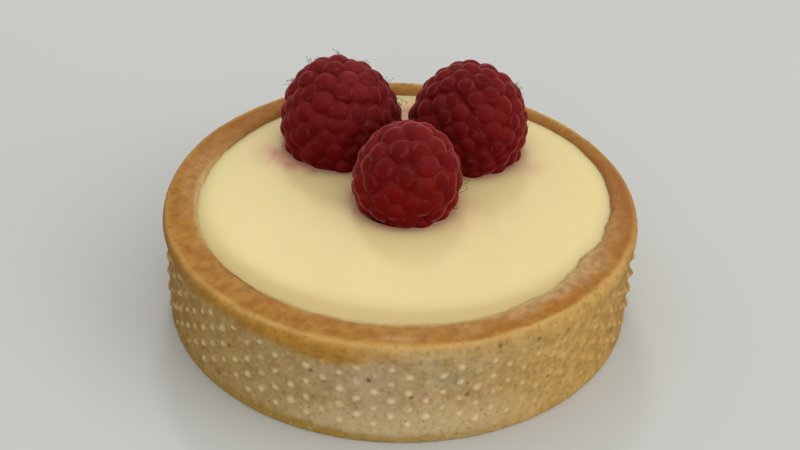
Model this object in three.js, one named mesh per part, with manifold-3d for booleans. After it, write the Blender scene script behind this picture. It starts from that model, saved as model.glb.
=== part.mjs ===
// A lemon posset tartlet: a straight-sided shortcrust shell baked in a perforated
// ring, filled to the brim with set lemon posset, with three raspberries pressed
// into its top. Millimetres, +Z up. The origin is the centre of the flat base.
import * as THREE from "three";
import { ConvexHull } from "three/addons/math/ConvexHull.js";
import { mergeGeometries, mergeVertices } from "three/addons/utils/BufferGeometryUtils.js";
import Module from "manifold-3d";

const manifold = await Module();
manifold.setup();

// ---- Driving dimensions -------------------------------------------------------

// The shell takes its outside from a ring 80 mm across and 20 mm high.
const RIM_RADIUS = 40;
const RIM_HEIGHT = 19.1;
const RIM_LIP_HEIGHT = 2.6; // the rim's overhang, measured down from its top
const RIM_OUTER_ROUNDING = { width: 1.25, height: 1.05 };
const RIM_FRONT_FULLNESS = 0.45; // how much rounder its outer edge is in front, and sharper behind
const RIM_INNER_ROUNDING = { width: 1.2, height: 1.4 };
const WALL_INSET = 0.6; // the wall stands this far inside the rim's edge
const FOOT_ROUNDING = 0.4;

// The pocket sits off centre, so the wall is thick in front and thin behind.
const POCKET_RADIUS = 34.7;
const POCKET_OFFSET = { x: 0.7, y: 2.4 };
const POCKET_CORNER = 2.4; // bevel between the pocket's side and its floor
const FLOOR_THICKNESS = 4;

// Hand-pressed dough: each form strays in waves. Turns is how many run round the shell,
// and a single one moves or leans the whole form.
const WALL_WAVES = [
  { turns: 1, depth: 0.1, phase: 0 },
  { turns: 2, depth: 0.08, phase: 0.7 },
  { turns: 3, depth: 0.05, phase: 1.6 },
  { turns: 7, depth: 0.03, phase: 2.9 },
];
const POCKET_WAVES = [
  { turns: 2, depth: 0.5, phase: 0.2 },
  { turns: 3, depth: 0.16, phase: 0.3 },
  { turns: 4, depth: 0.25, phase: 0.25 },
];
const RIM_WAVES = [
  { turns: 1, depth: 0.46, phase: 0 }, // higher behind than in front
  { turns: 2, depth: 0.08, phase: 3.2 },
  { turns: 3, depth: 0.05, phase: 1 },
  { turns: 7, depth: 0.03, phase: 0.4 },
];

// The ring's holes leave a staggered net of small pimples on the wall.
const PIMPLE_COLUMNS = 92;
const PIMPLE_PITCH = 3.2; // up one column
const PIMPLE_LOWEST = 3.95;
const PIMPLE_HIGHEST = 15.6;
const PIMPLE_RADIUS = 0.78;
const PIMPLE_HEIGHT = 0.7;
const PIMPLE_ROOT = 0.2; // sunk in the wall
const PIMPLE_SIZES = { least: 0.8, spread: 0.35 };
const PIMPLE_SIDES = 5;
const PIMPLE_SEED = 5;
const PIMPLE_FIRST_ANGLE = THREE.MathUtils.degToRad(-86.9);

// The posset reaches the rim's inner edge and domes up from there.
const POSSET_TOP = 18.85;
const POSSET_SHOULDER = { width: 7, height: 0.75 };
const POSSET_COLUMNS = PIMPLE_COLUMNS / 2;
const GAP = 0.3; // between pieces that touch

// Each berry is a heap of drupelets on a ball that is stretched upright and fuller towards
// its foot. Rise is its middle above the posset's top, tilt leans its tip, and stray is
// how far a drupelet lies from an even spiral, as a share of the spacing.
const BERRIES = [
  {
    name: "raspberry_left",
    at: { x: -11.1, y: 19.9 },
    rise: 4.1,
    radius: 10.03,
    stretch: 1.2,
    tilt: { x: 0.05, y: -0.23 },
    drupelets: 140,
    stray: 0.22,
    seed: 11,
  },
  {
    name: "raspberry_right",
    at: { x: 11.6, y: 19 },
    rise: 5.1,
    radius: 9.83,
    stretch: 1.13,
    tilt: { x: 0, y: 0.15 },
    drupelets: 150,
    stray: 0.18,
    seed: 23,
  },
  {
    name: "raspberry_front",
    at: { x: 1.1, y: 1.2 },
    rise: 4.9,
    radius: 8.6,
    stretch: 1.13,
    tilt: { x: 0.05, y: 0.17 },
    drupelets: 84,
    stray: 0.3,
    seed: 37,
  },
];
const BERRY_FULLNESS = 0.17; // how much farther it reaches at its foot than at its tip
const BERRY_SINK = 1.5; // the berry's flat foot lies this far below the posset's top
const DRUPELET_BALL = 0.82; // radius of a drupelet, as a share of the spacing
const DRUPELET_SHOULDER = 0.62; // where its crown turns down, as a share of its half width
const DRUPELET_HEIGHTS = 0.22; // between the lowest drupelets and the tallest
const DRUPELET_DEEPEST = 0.05; // least share of the ball's square that is left in a valley
const SOCKET_SIDES = 20;
const SOCKET_RINGS = 14;

const COLOURS = { crust: 0xb98a4b, posset: 0xebd9a0, raspberry: 0x7d1620 };

// ---- Helpers ------------------------------------------------------------------

// A random number generator with a fixed seed, so that every run is the same.
function seededRandom(seed) {
  let state = (seed * 2654435761) >>> 0;
  return () => {
    state = (state * 1664525 + 1013904223) >>> 0;
    return state / 4294967296;
  };
}

// The sum of some waves at an angle round the shell.
function unevenness(angle, waves) {
  return waves.reduce((sum, { turns, depth, phase }) => sum + depth * Math.sin(turns * angle + phase), 0);
}

// A closed geometry as a solid that can be joined and cut.
function toSolid(geometry) {
  const bare = new THREE.BufferGeometry().setAttribute("position", geometry.getAttribute("position"));
  if (geometry.index) bare.setIndex(geometry.index);
  const merged = mergeVertices(bare, 1e-4);
  const corners = merged.index.array;
  const kept = [];
  for (let i = 0; i < corners.length; i += 3) {
    const [a, b, c] = corners.slice(i, i + 3);
    if (a !== b && b !== c && c !== a) kept.push(a, b, c);
  }
  return new manifold.Manifold(
    new manifold.Mesh({
      numProp: 3,
      vertProperties: new Float32Array(merged.getAttribute("position").array),
      triVerts: new Uint32Array(kept),
    }),
  );
}

function toGeometry(solid) {
  const { vertProperties, triVerts } = solid.getMesh();
  const geometry = new THREE.BufferGeometry();
  geometry.setAttribute("position", new THREE.BufferAttribute(vertProperties, 3));
  geometry.setIndex(new THREE.BufferAttribute(triVerts, 1));
  return geometry;
}

// A profile of [radius, height] turned about +Z. place(radius, height, angle, row) may
// move each point, and returns x, y and z.
function revolve(profile, columns, place) {
  const points = profile.map(([radius, height]) => new THREE.Vector2(radius, height));
  const geometry = new THREE.LatheGeometry(points, columns).rotateX(Math.PI / 2);
  const position = geometry.getAttribute("position");
  const columnAngle = (2 * Math.PI) / columns;
  for (let column = 0; column <= columns; column++) {
    // Column edges lie half way between two columns of pimples.
    const angle = PIMPLE_FIRST_ANGLE + ((column % columns) + 0.5) * columnAngle;
    profile.forEach(([radius, height], row) => {
      position.setXYZ(column * profile.length + row, ...place(radius, height, angle, row));
    });
  }
  return geometry;
}

// A quarter of an ellipse from one profile point to another, in even steps. It sets off
// upright or level, and arrives the other way.
function roundedCorner([fromRadius, fromHeight], [toRadius, toHeight], steps, startsUpright) {
  const corner = [];
  for (let step = 0; step <= steps; step++) {
    const turn = ((step / steps) * Math.PI) / 2;
    const early = Math.sin(turn);
    const late = 1 - Math.cos(turn);
    const [radialShare, heightShare] = startsUpright ? [late, early] : [early, late];
    corner.push([
      fromRadius + (toRadius - fromRadius) * radialShare,
      fromHeight + (toHeight - fromHeight) * heightShare,
    ]);
  }
  return corner;
}

// A block whose flat top lies at a height, wide enough to cut all below it off a berry.
function everythingBelow(height, { at, radius }) {
  const side = 4 * radius;
  return toSolid(new THREE.BoxGeometry(side, side, side).translate(at.x, at.y, height - side / 2));
}

// ---- The shortcrust shell -----------------------------------------------------

const WALL_RADIUS = RIM_RADIUS - WALL_INSET;
const LIP_BOTTOM = RIM_HEIGHT - RIM_LIP_HEIGHT;

function wallRadius(angle) {
  return WALL_RADIUS + unevenness(angle, WALL_WAVES);
}

function placeOnWall(radius, height, angle) {
  const grown = (radius / WALL_RADIUS) * wallRadius(angle);
  return [grown * Math.cos(angle), grown * Math.sin(angle), height];
}

// The rim's outer rounding grows and shrinks about its top corner.
function placeOnRim(radius, height, angle) {
  const roundness = 1 - RIM_FRONT_FULLNESS * Math.sin(angle);
  const rounded = RIM_RADIUS - (RIM_RADIUS - radius) * roundness;
  return placeOnWall(rounded, RIM_HEIGHT - (RIM_HEIGHT - height) * roundness, angle);
}

function placeInPocket(radius, height, angle) {
  const grown = (radius / POCKET_RADIUS) * (POCKET_RADIUS + unevenness(angle, POCKET_WAVES));
  return [POCKET_OFFSET.x + grown * Math.cos(angle), POCKET_OFFSET.y + grown * Math.sin(angle), height];
}

function shellBody() {
  const wall = [
    [0, 0],
    ...roundedCorner([WALL_RADIUS - FOOT_ROUNDING, 0], [WALL_RADIUS, FOOT_ROUNDING], 2, false),
    [WALL_RADIUS, LIP_BOTTOM],
  ];
  const lipTop = RIM_HEIGHT - RIM_OUTER_ROUNDING.height;
  const topEdge = RIM_RADIUS - RIM_OUTER_ROUNDING.width;
  const rim = roundedCorner([RIM_RADIUS, lipTop], [topEdge, RIM_HEIGHT], 3, true);
  const innerEdge = POCKET_RADIUS + RIM_INNER_ROUNDING.width;
  const innerFoot = RIM_HEIGHT - RIM_INNER_ROUNDING.height;
  const inside = [
    ...roundedCorner([innerEdge, RIM_HEIGHT], [POCKET_RADIUS, innerFoot], 2, false),
    [POCKET_RADIUS, FLOOR_THICKNESS + POCKET_CORNER],
    [POCKET_RADIUS - POCKET_CORNER, FLOOR_THICKNESS],
    [0, FLOOR_THICKNESS],
  ];
  const places = [
    ...wall.map(() => placeOnWall),
    ...rim.map(() => placeOnRim),
    ...inside.map(() => placeInPocket),
  ];
  return revolve([...wall, ...rim, ...inside], PIMPLE_COLUMNS, (radius, height, angle, row) => {
    const [x, y, z] = places[row](radius, height, angle);
    return [x, y, height > LIP_BOTTOM ? z + unevenness(angle, RIM_WAVES) : z];
  });
}

// One pimple is a low cone that points straight out of its flat stretch of wall.
function pimple(angle, height, size) {
  const length = (PIMPLE_HEIGHT + PIMPLE_ROOT) * size;
  const halfColumn = Math.PI / PIMPLE_COLUMNS;
  const wall = (wallRadius(angle - halfColumn) + wallRadius(angle + halfColumn)) / 2;
  return new THREE.ConeGeometry(PIMPLE_RADIUS * size, length, PIMPLE_SIDES, 1)
    .translate(0, length / 2 - PIMPLE_ROOT, 0)
    .rotateZ(-Math.PI / 2)
    .translate(wall * Math.cos(halfColumn), 0, height)
    .rotateZ(angle);
}

function pimples() {
  const random = seededRandom(PIMPLE_SEED);
  const cones = [];
  for (let column = 0; column < PIMPLE_COLUMNS; column++) {
    const angle = PIMPLE_FIRST_ANGLE + (column * 2 * Math.PI) / PIMPLE_COLUMNS;
    const lowest = PIMPLE_LOWEST + (column % 2 === 0 ? 0 : PIMPLE_PITCH / 2);
    for (let height = lowest; height < PIMPLE_HIGHEST; height += PIMPLE_PITCH) {
      cones.push(pimple(angle, height, PIMPLE_SIZES.least + PIMPLE_SIZES.spread * random()));
    }
  }
  return mergeGeometries(cones);
}

function tartShell() {
  return toGeometry(toSolid(shellBody()).add(toSolid(pimples())));
}

// ---- The raspberries ----------------------------------------------------------

// How far a berry reaches from its middle in a direction, before it is tilted.
function berryReach({ x, y, z }, { radius, stretch }) {
  const fuller = 1 + (BERRY_FULLNESS * (1 - z)) / 2;
  return (radius * fuller) / Math.hypot(x, y, z / stretch);
}

// Turns and moves what was made about a berry's middle to where the berry sits.
function placeBerry(geometry, { at, rise, tilt }) {
  return geometry.rotateX(tilt.x).rotateY(tilt.y).translate(at.x, at.y, POSSET_TOP + rise);
}

// Directions of the drupelets: a spiral from tip to foot, slightly disordered.
function drupeletDirections({ drupelets, stray }, random) {
  const goldenAngle = Math.PI * (3 - Math.sqrt(5));
  const spacing = Math.sqrt((4 * Math.PI) / drupelets);
  const astray = () => (random() - 0.5) * 2 * stray * spacing;
  const directions = [];
  for (let k = 0; k < drupelets; k++) {
    const height = 1 - (2 * (k + 0.5)) / drupelets;
    const across = Math.sqrt(1 - height * height);
    const x = across * Math.cos(k * goldenAngle) + astray();
    const y = across * Math.sin(k * goldenAngle) + astray();
    const z = height + astray();
    directions.push(new THREE.Vector3(x, y, z).normalize());
  }
  return directions;
}

// For each drupelet, its cell's corners in order round it. A corner is a direction in
// which three drupelets meet, found from the hull of all the drupelets' directions.
function cellCorners(directions) {
  const hull = new ConvexHull().setFromPoints(directions);
  const corners = directions.map(() => []);
  const numberOf = new Map(directions.map((direction, k) => [direction, k]));
  for (const face of hull.faces) {
    const members = [];
    let edge = face.edge;
    do {
      members.push(numberOf.get(edge.head().point));
      edge = edge.next;
    } while (edge !== face.edge);
    const direction = face.normal.clone().normalize();
    members.forEach((k) => corners[k].push({ direction, members }));
  }
  directions.forEach((middle, k) => {
    const east = new THREE.Vector3(0, 0, 1).cross(middle).normalize();
    const north = middle.clone().cross(east);
    const bearing = ({ direction }) => Math.atan2(direction.dot(north), direction.dot(east));
    corners[k].sort((a, b) => bearing(a) - bearing(b));
  });
  return corners;
}

// A berry about its own middle, tip up. Each drupelet is the outer part of a ball, with a
// crown, a ring of shoulder points and valleys that it shares with its neighbours.
function raspberry(berry) {
  const random = seededRandom(berry.seed);
  const directions = drupeletDirections(berry, random);
  const ball = DRUPELET_BALL * berry.radius * Math.sqrt((4 * Math.PI) / berry.drupelets);
  const stray = () => (random() - 0.5) * DRUPELET_HEIGHTS;
  const depths = directions.map((direction) => berryReach(direction, berry) - ball + stray());
  // How far from the berry's middle the ray along a direction leaves drupelet k's ball.
  const surface = (k, direction) => {
    const angle = directions[k].angleTo(direction);
    const reach = ball ** 2 - (depths[k] * Math.sin(angle)) ** 2;
    return depths[k] * Math.cos(angle) + Math.sqrt(Math.max(reach, DRUPELET_DEEPEST * ball ** 2));
  };
  const point = (direction, distance) => direction.clone().multiplyScalar(distance).toArray();
  const triangles = [];
  cellCorners(directions).forEach((corners, k) => {
    const crown = point(directions[k], depths[k] + ball);
    const valley = corners.map(({ direction, members }) => {
      const distances = members.map((member) => surface(member, direction));
      return point(direction, distances.reduce((a, b) => a + b) / distances.length);
    });
    const shoulder = corners.map(({ direction }) => {
      const part = directions[k].clone().lerp(direction, DRUPELET_SHOULDER).normalize();
      return point(part, surface(k, part));
    });
    corners.forEach((_, i) => {
      const next = (i + 1) % corners.length;
      triangles.push(crown, shoulder[i], shoulder[next]);
      triangles.push(shoulder[i], valley[i], valley[next]);
      triangles.push(shoulder[i], valley[next], shoulder[next]);
    });
  });
  const geometry = new THREE.BufferGeometry();
  return geometry.setAttribute("position", new THREE.Float32BufferAttribute(triangles.flat(), 3));
}

// A berry in its place, tilted, with its foot cut flat just below the posset's top.
function placedRaspberry(berry) {
  const body = toSolid(placeBerry(raspberry(berry), berry));
  return toGeometry(body.subtract(everythingBelow(POSSET_TOP - BERRY_SINK, berry)));
}

// ---- The posset ---------------------------------------------------------------

function possetBody() {
  const side = POCKET_RADIUS - GAP;
  const floor = FLOOR_THICKNESS + GAP;
  const edge = POSSET_TOP - POSSET_SHOULDER.height;
  const profile = [
    [0, floor],
    [side - POCKET_CORNER, floor],
    [side, floor + POCKET_CORNER],
    ...roundedCorner([side, edge], [side - POSSET_SHOULDER.width, POSSET_TOP], 4, true),
    [0, POSSET_TOP],
  ];
  return toSolid(revolve(profile, POSSET_COLUMNS, placeInPocket));
}

// The hollow that a berry presses into the posset, clear of the berry all round.
function socket(berry) {
  const bowl = new THREE.SphereGeometry(1, SOCKET_SIDES, SOCKET_RINGS).rotateX(Math.PI / 2);
  const position = bowl.getAttribute("position");
  const point = new THREE.Vector3();
  for (let i = 0; i < position.count; i++) {
    point.fromBufferAttribute(position, i);
    point.multiplyScalar(berryReach(point, berry) + DRUPELET_HEIGHTS + GAP);
    position.setXYZ(i, ...point);
  }
  const hollow = toSolid(placeBerry(bowl, berry));
  return hollow.subtract(everythingBelow(POSSET_TOP - BERRY_SINK - GAP, berry));
}

function possetFilling() {
  const socketed = BERRIES.reduce((rest, berry) => rest.subtract(socket(berry)), possetBody());
  return toGeometry(socketed);
}

// ---- The tartlet --------------------------------------------------------------

const crust = new THREE.MeshStandardMaterial({ color: COLOURS.crust, roughness: 0.85, metalness: 0 });
const posset = new THREE.MeshStandardMaterial({ color: COLOURS.posset, roughness: 0.3, metalness: 0 });
const flesh = new THREE.MeshStandardMaterial({ color: COLOURS.raspberry, roughness: 0.45, metalness: 0 });

function named(name, geometry, material) {
  const mesh = new THREE.Mesh(geometry, material);
  mesh.name = name;
  return mesh;
}

const tartlet = new THREE.Group();
tartlet.add(named("tart_shell", tartShell(), crust));
tartlet.add(named("posset_filling", possetFilling(), posset));
for (const berry of BERRIES) {
  tartlet.add(named(berry.name, placedRaspberry(berry), flesh));
}

export default tartlet;
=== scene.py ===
# The looks of a lemon posset tartlet: a shortcrust shell, set posset and three raspberries.
# Sizes are in millimetres and become metres where a mesh is made. Each piece keeps its solid's
# form, because the shared sizes and the rules for pimples and drupelets are the solids' own.

import math

import bmesh
import bpy
import numpy as np
from mathutils import Matrix, Vector


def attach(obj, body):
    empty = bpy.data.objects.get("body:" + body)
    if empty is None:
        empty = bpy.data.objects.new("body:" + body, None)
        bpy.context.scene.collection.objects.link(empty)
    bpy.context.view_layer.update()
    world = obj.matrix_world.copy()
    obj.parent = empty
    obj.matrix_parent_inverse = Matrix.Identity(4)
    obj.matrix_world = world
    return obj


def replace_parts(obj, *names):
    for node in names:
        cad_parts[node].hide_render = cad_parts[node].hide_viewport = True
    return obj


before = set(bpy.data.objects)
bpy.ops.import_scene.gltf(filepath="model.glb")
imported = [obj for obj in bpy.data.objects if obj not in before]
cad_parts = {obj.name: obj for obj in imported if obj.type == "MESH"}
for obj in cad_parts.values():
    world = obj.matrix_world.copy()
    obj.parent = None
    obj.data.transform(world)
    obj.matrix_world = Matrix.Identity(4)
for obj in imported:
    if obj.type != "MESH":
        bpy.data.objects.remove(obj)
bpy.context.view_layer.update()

MM = 0.001

# ---- Sizes shared with the solids ----

RIM_RADIUS = 40
RIM_HEIGHT = 19.1
RIM_LIP_HEIGHT = 2.6
RIM_OUTER_WIDTH, RIM_OUTER_HEIGHT = 1.25, 1.05
RIM_FRONT_FULLNESS = 0.45
RIM_INNER_WIDTH, RIM_INNER_HEIGHT = 1.2, 1.4
WALL_RADIUS = RIM_RADIUS - 0.6
LIP_BOTTOM = RIM_HEIGHT - RIM_LIP_HEIGHT
LIP_TOP = RIM_HEIGHT - RIM_OUTER_HEIGHT
FOOT_ROUNDING = 0.4

POCKET_RADIUS = 34.7
POCKET_OFFSET = np.array([0.7, 2.4])
POCKET_CORNER = 2.4
FLOOR_THICKNESS = 4

# Waves round the shell: how many, how deep, and their phase.
WALL_WAVES = ((1, 0.1, 0), (2, 0.08, 0.7), (3, 0.05, 1.6), (7, 0.03, 2.9))
POCKET_WAVES = ((2, 0.5, 0.2), (3, 0.16, 0.3), (4, 0.25, 0.25))
RIM_WAVES = ((1, 0.46, 0), (2, 0.08, 3.2), (3, 0.05, 1), (7, 0.03, 0.4))

PIMPLE_COLUMNS = 92
PIMPLE_PITCH = 3.2
PIMPLE_LOWEST = 3.95
PIMPLE_HIGHEST = 15.6
PIMPLE_RADIUS = 0.78
PIMPLE_HEIGHT = 0.7
PIMPLE_SIZE_LEAST, PIMPLE_SIZE_SPREAD = 0.8, 0.35
PIMPLE_SEED = 5
PIMPLE_FIRST_ANGLE = math.radians(-86.9)

POSSET_TOP = 18.85
POSSET_SHOULDER_WIDTH, POSSET_SHOULDER_HEIGHT = 7, 0.75
GAP = 0.3

# A berry's middle stands at a place and rises above the posset's top. Stretch is how much taller
# than wide it is, tilt is in radians, and stray is how far its drupelets leave their even spiral.
# Bloom, a pale haze of hairs strongest on top as painted light from above, sheen and redness are
# shares for its looks. A tuft of hairs is its direction from the berry's middle, where its hairs
# lean at the root and bend to at the end, how many and how long.
BERRIES = {
    "left": dict(
        at=(-11.1, 19.9), rise=4.1, radius=10.03, stretch=1.2, tilt=(0.05, -0.23),
        drupelets=140, stray=0.22, seed=11, bloom_and_painted_light=0.2, sheen=0.5, redness=0.1,
        tufts=(
            ((-0.24, 0.33, 0.91), (-0.2, 0, 0.6), (-0.1, 0, 0.2), 7, 1.5),
            ((-0.62, 0.14, 0.77), (-0.9, 0, -0.3), (-0.2, 0, -0.3), 6, 1.5),
            ((0.2, 0.4, 0.88), (-0.8, 0, 0), (-0.6, 0, 0.2), 2, 1.4),
            ((0.55, 0.2, 0.81), (0.6, 0, -0.1), (0.5, 0, -0.3), 4, 1.6),
            ((0.85, 0.16, 0.51), (-0.3, 0, 0.9), (0.2, 0, 0.4), 3, 1.6),
            ((0.98, -0.08, 0.15), (0.2, 0, 1), (0.4, 0, -1.1), 4, 2.4),
            ((-0.96, -0.29, 0.01), (-0.2, 0, -0.3), (0, 0, -0.5), 4, 0.9),
        ),
    ),
    "right": dict(
        at=(11.6, 19), rise=5.1, radius=9.83, stretch=1.13, tilt=(0, 0.15),
        drupelets=150, stray=0.18, seed=23, bloom_and_painted_light=0.14, sheen=0.7, redness=0,
        tufts=(
            ((-0.38, 0.02, 0.92), (-0.9, 0, 0), (-0.5, 0, -0.1), 4, 1.0),
            ((-0.22, 0.13, 0.97), (0, 0, 0.5), (0, 0, 0.1), 2, 0.9),
            ((0.62, 0, 0.78), (0.4, 0, 0), (0.3, 0, -0.1), 8, 1.4),
            ((0.97, -0.24, -0.02), (0.1, 0, 0.7), (0, 0, 0.4), 3, 0.9),
            ((-0.98, -0.13, 0.17), (-0.2, 0, 0.8), (-0.3, 0, -0.9), 2, 1.8),
        ),
    ),
    "front": dict(
        at=(1.1, 1.2), rise=4.9, radius=8.6, stretch=1.13, tilt=(0.05, 0.17),
        drupelets=84, stray=0.3, seed=37, bloom_and_painted_light=0.16, sheen=0.7, redness=0.35,
        tufts=(
            ((0.87, -0.14, 0.47), (0.1, 0, 0.8), (0.2, 0, 0.3), 4, 1.2),
            ((0.97, -0.24, 0.07), (0.3, 0, 0.4), (0.4, 0, 0.5), 6, 1.5),
            ((0.9, -0.3, -0.35), (0.3, 0, 0.1), (0, 0, 0.4), 4, 1.1),
            ((-0.91, -0.3, -0.29), (-0.3, 0, -0.2), (0, 0, -0.4), 4, 1.1),
        ),
    ),
}
BERRY_FULLNESS = 0.17
BERRY_SINK = 1.5
DRUPELET_BALL = 0.82
DRUPELET_HEIGHTS = 0.22
DRUPELET_DEEPEST = 0.05

# ---- Sizes of the finer surface ----

CRUST_COLUMNS = PIMPLE_COLUMNS * 9
WALL_ROWS = 50
RIM_TOP_ROWS = 20
RIM_ZONE_FOOT = 15  # the brim's crumbs, film and painted crack shade are drawn above this height
FLARE_FOOT = LIP_BOTTOM - 0.9
FLARE_FRONT_DEPTH = 3  # how much lower the lip's flare starts in front
PIMPLE_SPREAD = 1.15  # a baked pimple is wider and softer than its hole
PIMPLES_FROM = 2.5  # no pimple reaches below this height
BRIM_RAGGEDNESS = 0.16  # how far crumbs push the pocket's brim
BRIM_SWELLING = 1.1  # how far the brim swells inward at the right front
POSSET_COLUMNS = 420
POSSET_STEP, POSSET_FINE_STEP = 0.3, 0.12
POSSET_FINE_WIDTH = 2.4  # how far inward the finer steps go
POSSET_REACH = 0.6  # how far the posset reaches into the crust, so that no gap shows
POSSET_SIDE_TOP = 12  # where its hidden side ends and its edge begins
POSSET_DIP = 0.25  # how far it sags beside a berry
POSSET_DIP_WIDTH = 1.6
POSSET_CREEP, POSSET_CREEP_WIDTH = 0.35, 0.35  # how high it creeps up the crust
HOLLOW_INNER, HOLLOW_OUTER = -1.9, -0.6  # a berry's hollow, outward from where it meets the posset
CREASE_FILL = 0.12  # how far the crease between two drupelets is filled
CREASE_SHARPNESS = 6  # the higher, the nearer to the crease a drupelet dips
DRUPELET_RINGS = 9
RING_CROWDING = 1.35  # above 1, its rings of points lie closer near the border
DRUPELET_EDGE_STEPS = 5
DRUPELET_UNEVENNESS = 0.03
WELD_DISTANCE = 0.0005
TUFT_SPREAD = 0.09  # how far a tuft's hairs stand from its middle, as a share of the berry
LONE_STYLES = 0.1  # the share of drupelets with a lone hair
LONE_STYLE_LENGTH = 0.8
STYLE_ROOT = 0.1  # how deep a hair stands in its drupelet
STYLE_LOWEST = 0.6  # no hair stands lower than this above the posset
STYLE_SWAY = 0.15  # how far a hair's lean and bend stray
FUZZ_SHEEN_RING = 0.41  # where the painted sheen, a pale ring of fuzz catching light, lies on a drupelet, as a share of their spacing
FUZZ_SHEEN_RING_WIDTH = 0.055
STYLE_RADIUS = 0.04
STYLE_SIDES = 5
STYLE_STEPS = 9

# ---- Colours ----

# Light and dark tones of the crust that mottle into each other, 0 to 255 as on a screen.
CRUST_TONES = {
    "plain": ((182, 152, 94), (166, 134, 78)),
    "gold": ((192, 152, 84), (172, 134, 68)),
    "grey": ((184, 160, 122), (168, 144, 98)),
    "olive": ((158, 122, 66), (140, 104, 50)),
    "band": ((182, 134, 54), (162, 116, 42)),
    "rim": ((180, 128, 58), (162, 108, 44)),
    "crumbs": ((206, 166, 118), (174, 130, 80)),
}

# Patches on the wall: direction and width in degrees, height and its width, and strength.
MOSS_PATCHES = ((-104.5, 5, 12.7, 1.7, 1), (-75.5, 5.5, 13.2, 2.2, 1))
ROSY_PATCHES = ((-95.5, 5.5, 12.4, 1.6, 1), (-116, 6, 11, 2, 0.8))

# Juice stains and painted shade on the posset: place, width and strength. The wide patch between
# the back berries is pink painted shade, and the one right of the front berry a faint darker patch.
STAINS_AND_SHADE = (
    ((-22.6, 14.2), 2.6, 1),
    ((-19.4, 11.4), 2.2, 0.8),
    ((-15.6, 9.6), 1.6, 0.5),
    ((22.5, 12.5), 2.4, 0.35),
    ((0.3, 29), 8, 0.8),
    ((13.4, -1), 6, 0.2),
)

# ---- Camera and light ----

CAMERA_PLACE = Vector((0.03, -236.66, 179.27)) * MM
CAMERA_PITCH = 0.6083
CAMERA_ROLL = 0.0318
CAMERA_LENS = 75.9
SENSOR_WIDTH = 36

# Lamps in metres and watts. Azimuth 0 is in front, 90 at the right.
LAMPS = {
    "window": dict(azimuth=185, elevation=43, distance=1.5, size=0.25, watts=2.9, tint=(1, 0.98, 0.94)),
    "sky_above": dict(azimuth=110, elevation=70, distance=1.8, size=2.2, watts=5.5, tint=(0.97, 0.99, 1)),
    "room_right": dict(azimuth=66, elevation=24, distance=1.6, size=1.2, watts=7.5, tint=(1, 0.98, 0.95)),
    "room_front": dict(azimuth=0, elevation=22, distance=1.6, size=1.2, watts=5.5, tint=(1, 0.98, 0.95)),
}
ROOM_LIGHT = 0.597
ROOM_TINT = (0.98, 0.99, 1, 1)
FLOOR_REACH = 3000

NOISE_CELLS = 32


# ---- Helpers for shapes ----


def seeded_random(seed):
    """The solids' own random numbers, between 0 and 1."""
    state = (seed * 2654435761) % 2**32
    while True:
        state = (state * 1664525 + 1013904223) % 2**32
        yield state / 2**32


def unevenness(angle, waves):
    return sum(depth * np.sin(turns * angle + phase) for turns, depth, phase in waves)


def noise(points, size, seed):
    """Smooth noise between -1 and 1 at each point, with features of one size."""
    table = np.random.default_rng(seed).uniform(-1, 1, (NOISE_CELLS,) * 3)
    cell = np.asarray(points) / size
    low = np.floor(cell).astype(int)
    part = cell - low
    part = part * part * (3 - 2 * part)
    total = np.zeros(cell.shape[:-1])
    for corner in np.ndindex(2, 2, 2):
        weight = np.where(corner, part, 1 - part).prod(axis=-1)
        x, y, z = np.moveaxis((low + corner) % NOISE_CELLS, -1, 0)
        total += weight * table[x, y, z]
    return total


def smoothstep(low, high, value):
    """0 below low, 1 above high, and a smooth rise between. It falls where low is above high."""
    share = np.clip((value - low) / (high - low), 0, 1)
    return share * share * (3 - 2 * share)


def bell(value, centre, width):
    return np.exp(-(((value - centre) / width) ** 2))


def lobe(angle, centre, width):
    """A bell round the shell. Centre and width are in degrees, 0 at the right, -90 in front."""
    away = (np.degrees(angle) - centre + 180) % 360 - 180
    return bell(away, 0, width)


def distance(level, place):
    """How far points [x, y] lie from a place."""
    x, y = np.moveaxis(level - np.asarray(place), -1, 0)
    return np.hypot(x, y)


def rounded_corner(start, end, steps, starts_upright):
    """A quarter of an ellipse between two profile points, both of them included."""
    turn = np.linspace(0, math.pi / 2, steps + 1)
    early, late = np.sin(turn), 1 - np.cos(turn)
    radial, upward = (late, early) if starts_upright else (early, late)
    radius = start[0] + (end[0] - start[0]) * radial
    height = start[1] + (end[1] - start[1]) * upward
    return np.stack([radius, height], axis=1)


def straight(start, end, steps):
    """Even steps between two profile points, without the ends."""
    share = np.linspace(0, 1, steps + 1)[1:-1, None]
    return np.asarray(start) * (1 - share) + np.asarray(end) * share


def pocket_radius(angle):
    return POCKET_RADIUS + unevenness(angle, POCKET_WAVES)


def around(radius, angle):
    return np.stack([radius * np.cos(angle), radius * np.sin(angle)], axis=-1)


def grid_normals(points):
    """Outward normals of a grid of points that closes on itself along its first axis."""
    along = np.roll(points, -1, axis=0) - np.roll(points, 1, axis=0)
    across = np.gradient(points, axis=1)
    normals = np.cross(along, across)
    return normals / np.maximum(np.linalg.norm(normals, axis=-1, keepdims=True), 1e-12)


def on_plane(level):
    """Points [x, y] as points [x, y, 0]."""
    return np.dstack([level, np.zeros(level.shape[:2])])


def add_object(name, data):
    thing = bpy.data.objects.new(name, data)
    bpy.context.scene.collection.objects.link(thing)
    return thing


def make_piece(name, points, faces, attributes=()):
    """A smooth mesh piece. Points are in millimetres, attributes are one number a point."""
    mesh = bpy.data.meshes.new(name)
    mesh.from_pydata((np.asarray(points) * MM).tolist(), [], faces)
    for key, values in dict(attributes).items():
        layer = mesh.attributes.new(key, "FLOAT", "POINT")
        layer.data.foreach_set("value", np.asarray(values, np.float32).ravel())
    mesh.polygons.foreach_set("use_smooth", [True] * len(mesh.polygons))
    return add_object(name, mesh)


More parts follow.
